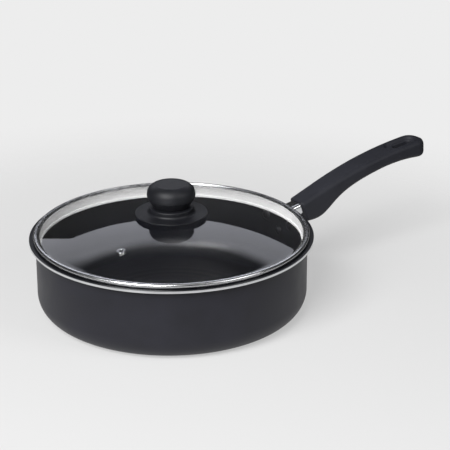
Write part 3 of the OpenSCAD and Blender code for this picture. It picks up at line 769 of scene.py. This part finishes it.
def section(w, h, r):
    """Rounded rectangle, w wide and h deep from its top edge at zero, from the top's middle round."""
    points = []
    flat = w / 2 - r
    for k in range(24):
        points.append((-flat + 2 * flat * k / 24, 0.0))
    for centre_x, centre_y, start in ((flat, r, -90), (flat, h - r, 0)):
        for k in range(9):
            a = math.radians(start + 90 * k / 9)
            points.append((centre_x + r * math.cos(a), centre_y + r * math.sin(a)))
        if start == -90:
            points += [(w / 2, r + (h - 2 * r) * k / 4) for k in range(4)]
    for k in range(12):
        points.append((flat - 2 * flat * k / 12, h))
    for centre_x, centre_y, start in ((-flat, h - r, 90), (-flat, r, 180)):
        for k in range(9):
            a = math.radians(start + 90 * k / 9)
            points.append((centre_x + r * math.cos(a), centre_y + r * math.sin(a)))
        if start == 90:
            points += [(-w / 2, h - r - (h - 2 * r) * k / 4) for k in range(4)]
    return points


def grip_ring(s, shrink=0.0, along=None):
    left = max((1 - share(s, BODY_LEN, GRIP_LEN) ** TIP_SHAPE) ** (1 / TIP_SHAPE), 0.02)
    w = grip_width(s) * left - 2 * shrink
    full = grip_depth(s)
    h = full * (0.55 + 0.45 * left) - 2 * shrink
    drop = (full - h - 2 * shrink) * 0.4 + shrink
    r = min(EDGE_R - shrink * 0.5, w / 2 - 0.1, h / 2 - 0.1)
    x0, z0 = top_line(s if along is None else along)
    t = slope(s)
    ring = []
    for across, down in section(w, h, r):
        v = down + drop
        if down <= 0.0 and abs(across) < RECESS_W / 2:
            v += scoop(s, across)
        ring.append(((x0 + v * math.sin(t)) * MM, -across * MM, (z0 - v * math.cos(t)) * MM))
    return ring


def grip_mesh():
    rings = [grip_ring(0, 1.0 - math.sin(math.radians(a)), 1.0 - math.cos(math.radians(a)))
             for a in (0, 22.5, 45, 67.5)]
    stations = [1.0]
    while stations[-1] < BODY_LEN - 34:
        stations.append(stations[-1] + 1.5)
    while stations[-1] < BODY_LEN:
        stations.append(min(stations[-1] + 0.6, BODY_LEN))
    rings += [grip_ring(s) for s in stations]
    tip = 26
    rings += [grip_ring(BODY_LEN + TIP_ROUND * math.sin(math.radians(90 * k / tip)))
              for k in range(1, tip + 1)]
    n = len(rings[0])
    points = [p for ring in rings for p in ring]
    faces = []
    for i in range(len(rings) - 1):
        for j in range(n):
            k = (j + 1) % n
            faces.append((i * n + j, i * n + k, (i + 1) * n + k, (i + 1) * n + j))
    faces.append(tuple(reversed(range(n))))
    last = (len(rings) - 1) * n
    faces.append(tuple(last + j for j in range(n)))
    mesh = bpy.data.meshes.new("grip")
    mesh.from_pydata(points, [], faces)
    work = bmesh.new()
    work.from_mesh(mesh)
    bmesh.ops.remove_doubles(work, verts=work.verts, dist=2e-5)
    bmesh.ops.recalc_face_normals(work, faces=work.faces)
    work.to_mesh(mesh)
    work.free()
    return mesh


def loft(name, loops, material):
    """A closed mesh through loops of points, capped at both ends."""
    n = len(loops[0])
    faces = [(i * n + j, i * n + (j + 1) % n, (i + 1) * n + (j + 1) % n, (i + 1) * n + j)
             for i in range(len(loops) - 1) for j in range(n)]
    faces += [tuple(reversed(range(n))), tuple((len(loops) - 1) * n + j for j in range(n))]
    mesh = bpy.data.meshes.new(name)
    mesh.from_pydata([p for loop in loops for p in loop], [], faces)
    work = bmesh.new()
    work.from_mesh(mesh)
    bmesh.ops.recalc_face_normals(work, faces=work.faces)
    work.to_mesh(mesh)
    work.free()
    return mesh_object(name, mesh, material)


def obround(length, width, steps=14):
    """Points of a slot's outline about zero."""
    half = (length - width) / 2
    return ([(half + width / 2 * math.cos(math.radians(-90 + 180 * k / steps)),
              width / 2 * math.sin(math.radians(-90 + 180 * k / steps))) for k in range(steps + 1)]
            + [(-half + width / 2 * math.cos(math.radians(90 + 180 * k / steps)),
                width / 2 * math.sin(math.radians(90 + 180 * k / steps))) for k in range(steps + 1)])


def slot_cutter():
    """Hanging slot with eased edges above and below, in the place of the slot's middle."""
    top = RECESS_DEPTH
    spare = 0.6
    bottom = grip_depth(SLOT_MID) + spare
    ease_r = 1.2
    levels = [(-CUT_PAST, ease_r)]
    levels += [(top + ease_r * math.sin(math.radians(a)), ease_r * (1 - math.cos(math.radians(90 - a))))
               for a in (0, 20, 40, 60, 90)]
    levels += [(bottom - ease_r * (1 - math.sin(math.radians(a))) - spare,
                ease_r * (1 - math.cos(math.radians(a))))
               for a in (0, 30, 50, 70, 90)]
    levels += [(bottom + CUT_PAST, ease_r)]
    x0, z0 = top_line(SLOT_MID)
    t = slope(SLOT_MID)
    loops = []
    for depth, grow in levels:
        loops.append([((x0 + u * math.cos(t) + depth * math.sin(t)) * MM, v * MM,
                       (z0 + u * math.sin(t) - depth * math.cos(t)) * MM)
                      for u, v in obround(SLOT_LEN + 2 * grow, SLOT_W + 2 * grow)])
    return loft("slot_cut", loops, GRIP)


def tang_place(along=0.0, up=0.0):
    """Frame on the tang's middle line: X out along it, Z up from it."""
    return (Matrix.Translation((WALL_R * MM, 0, TANG_Z * MM)) @ Matrix.Rotation(-TANG_ANGLE, 4, "Y")
            @ Matrix.Translation((along * MM, 0, up * MM)))


def round_rect(w, h, r, steps=6):
    points = []
    for sx, sy, start in ((1, 1, 0), (-1, 1, 90), (-1, -1, 180), (1, -1, 270)):
        for k in range(steps + 1):
            a = math.radians(start + 90 * k / steps)
            points.append((sx * (w / 2 - r) + r * math.cos(a), sy * (h / 2 - r) + r * math.sin(a)))
    return points


GUARD_W = 16
GUARD_H = 12
GUARD_R = 3
GUARD_T = 0.8
GRIP_FIT = 0.2
TANG_W = 13
TANG_T = 4
TANG_REACH = 22
POCKET_R = 5.2
POCKET_DEPTH = 40
WASHER_T = 1
GUARD_FRONT = (GRIP_X + math.sin(GRIP_ANGLE) * grip_depth(0) / 2 - WALL_R) / math.cos(TANG_ANGLE)


def mouth_cutter():
    place = tang_place()
    end = GUARD_FRONT + MOUTH_DEPTH
    loops = [[place @ Vector((x * MM, y * MM, z * MM))
              for y, z in round_rect(GUARD_W + 2 * GRIP_FIT, GUARD_H + 2 * GRIP_FIT, GUARD_R + GRIP_FIT)]
             for x in (2, end)]
    return loft("mouth_cut", loops, GRIP)


def tang_cutter():
    place = tang_place()
    tang_end = GRIP_X - WALL_R + TANG_REACH + GRIP_FIT
    outline = round_rect(TANG_W + 2 * GRIP_FIT, TANG_T + 2 * GRIP_FIT, 0.4, 2)
    loops = [[place @ Vector((x * MM, y * MM, z * MM)) for y, z in outline]
             for x in (10, tang_end)]
    return loft("tang_cut", loops, GRIP)


washer_low, washer_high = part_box("grip_washer")
SCREW_SPOT = tang_place().inverted() @ ((washer_low + washer_high) / 2)


def screw_pocket():
    corners = ((0, -POCKET_DEPTH), (POCKET_R, -POCKET_DEPTH), (POCKET_R, WASHER_T / 2), (0, WASHER_T / 2))
    pocket = turned("screw_pocket", [Vector(p) for p in corners], GRIP, closed=False, steps=64)
    pocket.data.transform(tang_place() @ Matrix.Translation(SCREW_SPOT))
    return pocket


grip = mesh_object("grip_moulded", grip_mesh(), GRIP)
for cutter in (slot_cutter(), mouth_cutter(), tang_cutter(), screw_pocket()):
    cut(grip, cutter)
finish_piece(grip, "pan", ["grip"], sharp=35)


def guard_mesh():
    """Sleeve of thin steel: its pan end follows the flange's curve, its other end is square."""
    place = tang_place()
    back = place.inverted()
    stop = WALL_R + FLANGE_T + 0.2
    end = GUARD_FRONT + MOUTH_DEPTH - 1
    lip = 0.25

    def front_at(y, z):
        x = 0.0
        for _ in range(8):
            spot = place @ Vector((x * MM, y * MM, z * MM)) / MM
            x += (math.sqrt(stop ** 2 - y ** 2) - spot.x) / math.cos(TANG_ANGLE)
        return x

    outer = round_rect(GUARD_W, GUARD_H, GUARD_R, 8)
    inner = round_rect(GUARD_W - 2 * GUARD_T, GUARD_H - 2 * GUARD_T, GUARD_R - GUARD_T, 8)
    middle = round_rect(GUARD_W - 2 * lip, GUARD_H - 2 * lip, GUARD_R - lip, 8)
    thin = GUARD_T - lip
    middle_in = round_rect(GUARD_W - 2 * thin, GUARD_H - 2 * thin, GUARD_R - thin, 8)
    loops = []
    for outline, step_back in ((outer, lip), (middle, 0.0), (middle_in, 0.0), (inner, lip)):
        loops.append([(front_at(y, z) + step_back, y, z) for y, z in outline])
    for outline, x in ((inner, end - lip), (middle_in, end), (middle, end), (outer, end - lip)):
        loops.append([(x, y, z) for y, z in outline])
    n = len(outer)
    m = len(loops)
    faces = [(i * n + j, ((i + 1) % m) * n + j, ((i + 1) % m) * n + (j + 1) % n, i * n + (j + 1) % n)
             for i in range(m) for j in range(n)]
    mesh = bpy.data.meshes.new("guard")
    mesh.from_pydata([place @ (Vector(p) * MM) for loop in loops for p in loop], [], faces)
    work = bmesh.new()
    work.from_mesh(mesh)
    bmesh.ops.recalc_face_normals(work, faces=work.faces)
    work.to_mesh(mesh)
    work.free()
    return mesh


guard = mesh_object("flame_guard_sleeve", guard_mesh(), MIRROR)
finish_piece(guard, "pan", ["flame_guard"])


def eased_copy(name, node, width_mm, material):
    """A copy of a CAD node with its flat faces joined and its sharp edges eased."""
    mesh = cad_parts[node].data.copy()
    work = bmesh.new()
    work.from_mesh(mesh)
    bmesh.ops.remove_doubles(work, verts=work.verts, dist=1e-5)
    bmesh.ops.dissolve_limit(work, angle_limit=math.radians(1), verts=work.verts, edges=work.edges)
    work.to_mesh(mesh)
    work.free()
    piece = mesh_object(name, mesh, material)
    modifier = piece.modifiers.new("Ease", "BEVEL")
    modifier.width = width_mm * MM
    modifier.segments = 3
    modifier.limit_method = "ANGLE"
    modifier.angle_limit = math.radians(35)
    bpy.context.view_layer.update()
    done = piece.evaluated_get(bpy.context.evaluated_depsgraph_get())
    piece.data = bpy.data.meshes.new_from_object(done)
    piece.modifiers.clear()
    return piece


bracket = eased_copy("bracket_eased", "handle_bracket", 0.35, BRACKET)
finish_piece(bracket, "pan", ["handle_bracket"], sharp=30)

washer = turned("grip_washer_stamped", rounded([
    (2.7, -WASHER_T / 2, 0.1), (5, -WASHER_T / 2, 0.15), (5, WASHER_T / 2, 0.15), (2.7, WASHER_T / 2, 0.1),
], spare=0.3), ZINC, steps=64)
finish_piece(washer, "pan", ["grip_washer"],
             place=tang_place() @ Matrix.Translation(SCREW_SPOT))

GRIP_SCREW_LEN = 9.9
grip_screw = cross_screw("grip_screw_zinc", SCREW_R, 4.5, SCREW_HEAD_H, GRIP_SCREW_LEN)
finish_piece(grip_screw, "pan", ["grip_screw"],
             place=tang_place() @ Matrix.Translation(SCREW_SPOT - Vector((0, 0, WASHER_T / 2 * MM))))

# ---- Studio ----

def floor_material():
    # Matte white acrylic lit from below, which keeps shadows pale and fades into the white round it.
    material, tree, place = blank_material("backlit_white_acrylic")
    board = add(tree, "ShaderNodeBsdfPrincipled", inputs={
        "Base Color": linear("#a0a0a0"), "Roughness": 0.8, "Specular IOR Level": 0.2,
        "Emission Color": linear("#ffffff"), "Emission Strength": BOARD_GLOW})
    fade = add(tree, "ShaderNodeMapRange", {"interpolation_type": "SMOOTHSTEP"}, {
        "Value": from_axis(tree, place), "From Min": FADE_START, "From Max": FADE_END})
    clear = add(tree, "ShaderNodeBsdfTransparent")
    mix = add(tree, "ShaderNodeMixShader", inputs={
        0: fade.outputs["Result"], 1: board.outputs["BSDF"], 2: clear.outputs["BSDF"]})
    finish_material(tree, mix.outputs["Shader"])
    return material


def backlit_cloth():
    # Light-diffusing cloth in front of a lamp, fading out towards its top.
    material, tree, _ = blank_material("backlit_cloth")
    rise = add(tree, "ShaderNodeAttribute", {"attribute_name": "rise"}).outputs["Fac"]
    level = add(tree, "ShaderNodeMapRange", {"interpolation_type": "SMOOTHSTEP"}, {
        "Value": rise, "From Min": 0.55, "From Max": 1.0,
        "To Min": SCREEN_POWER, "To Max": 0.0}).outputs["Result"]
    glow = add(tree, "ShaderNodeEmission", inputs={"Color": linear("#f3f5ff"), "Strength": level})
    finish_material(tree, glow.outputs["Emission"])
    return material


def stage_mesh(name, points, faces, material):
    mesh = bpy.data.meshes.new(name)
    mesh.from_pydata(points, [], faces)
    piece = mesh_object(name, mesh, material)
    return piece


FLOOR_R = 3.0
FADE_START = 0.25
FADE_END = 0.6
BOARD_GLOW = 0.44
SCREEN_POWER = 1.55
floor_points = [(FLOOR_R * math.cos(math.radians(a)), FLOOR_R * math.sin(math.radians(a)), 0.0)
                for a in range(0, 360, 6)]
stage_mesh("floor", floor_points, [tuple(range(len(floor_points)))], floor_material())

VIEW_TURN = math.radians(-35.2)
SCREEN_Y = 0.30
SCREEN_HALF_W = 0.26
FOOT_Z = 0.2305
FOOT_X = -0.02
FOOT_BOW = 1.0
CORNER_X = -0.189
CORNER_DROP = 1.6
HEAD_EDGE_Z = 0.385
HEAD_BOW = 1.5


def seen(x, y, z):
    """A point given to the right of, away from and above the camera's line, in the part's frame."""
    return Matrix.Rotation(VIEW_TURN, 3, "Z") @ Vector((x, y, z))


def screen_foot(x):
    """The cloth's lower edge bows down in the middle and drops away at its left end."""
    bow = FOOT_Z + FOOT_BOW * (x - FOOT_X) ** 2
    return bow - CORNER_DROP * max(CORNER_X - x, 0)


def screen_head(x):
    return HEAD_EDGE_Z + HEAD_BOW * x ** 2


def arched_screen():
    """Bright cloth behind the pan."""
    columns, rows = 60, 10
    xs = [SCREEN_HALF_W * (2 * k / columns - 1) for k in range(columns + 1)]
    points = [seen(x, SCREEN_Y, screen_foot(x) + (screen_head(x) - screen_foot(x)) * i / rows)
              for i in range(rows + 1) for x in xs]
    n = columns + 1
    faces = [(i * n + k, i * n + k + 1, (i + 1) * n + k + 1, (i + 1) * n + k)
             for i in range(rows) for k in range(columns)]
    screen = stage_mesh("back_screen", points, faces, backlit_cloth())
    rise = screen.data.attributes.new("rise", "FLOAT", "POINT")
    for i, value in enumerate(rise.data):
        value.value = i // n / rows
    for kind in ("camera", "diffuse", "shadow", "transmission"):
        setattr(screen, "visible_" + kind, False)
    return screen


arched_screen()


def lamp(name, place, aim, width, height, watts):
    """A rectangular softbox that points at a spot."""
    light = bpy.data.lights.new(name, "AREA")
    light.shape = "RECTANGLE"
    light.size = width
    light.size_y = height
    light.energy = watts
    holder = bpy.data.objects.new(name, light)
    bpy.context.scene.collection.objects.link(holder)
    holder.location = place
    holder.rotation_euler = (aim - place).to_track_quat("-Z", "Y").to_euler()
    return holder


AIM = Vector((0, 0, 0.05))


def away(turn, rise, distance):
    """A point at a turn to the right of straight behind, and a rise, in degrees."""
    a, e = math.radians(turn), math.radians(rise)
    flat = distance * math.cos(e)
    return seen(flat * math.sin(a), flat * math.cos(a), distance * math.sin(e))


lamp("key_softbox", away(-153, 40, 2.4), AIM, 1.5, 1.3, 76)
lamp("top_softbox", away(-170, 82, 2.6), AIM, 2.4, 2.0, 4)
lamp("right_fill", away(120, 35, 2.6), AIM, 1.2, 1.2, 15)

world = bpy.data.worlds.new("studio")
bpy.context.scene.world = world
world.use_nodes = True
sky = world.node_tree
sky.nodes.clear()
dim = add(sky, "ShaderNodeBackground", inputs={"Color": linear("#909090"), "Strength": 0.14})
pale = add(sky, "ShaderNodeBackground", inputs={"Color": linear("#ededed"), "Strength": 1.0})
direct = add(sky, "ShaderNodeLightPath").outputs["Is Camera Ray"]
blend = add(sky, "ShaderNodeMixShader",
            inputs={0: direct, 1: dim.outputs["Background"], 2: pale.outputs["Background"]})
add(sky, "ShaderNodeOutputWorld", inputs={"Surface": blend.outputs["Shader"]})

bpy.context.scene.view_settings.view_transform = "Standard"

# ---- Camera ----

CAMERA_DOWN = math.radians(21.739)
CAMERA_ROLL = math.radians(-0.117)

camera_data = bpy.data.cameras.new("camera")
camera_data.lens = 136
camera_data.sensor_width = 36
camera_data.clip_end = 50
camera = bpy.data.objects.new("camera", camera_data)
bpy.context.scene.collection.objects.link(camera)
camera.matrix_world = (
    Matrix.Translation(seen(0.05105, -1.50915, 0.68416)) @ Matrix.Rotation(VIEW_TURN, 4, "Z")
    @ Matrix.Rotation(math.pi / 2 - CAMERA_DOWN, 4, "X") @ Matrix.Rotation(CAMERA_ROLL, 4, "Z"))
bpy.context.scene.camera = camera
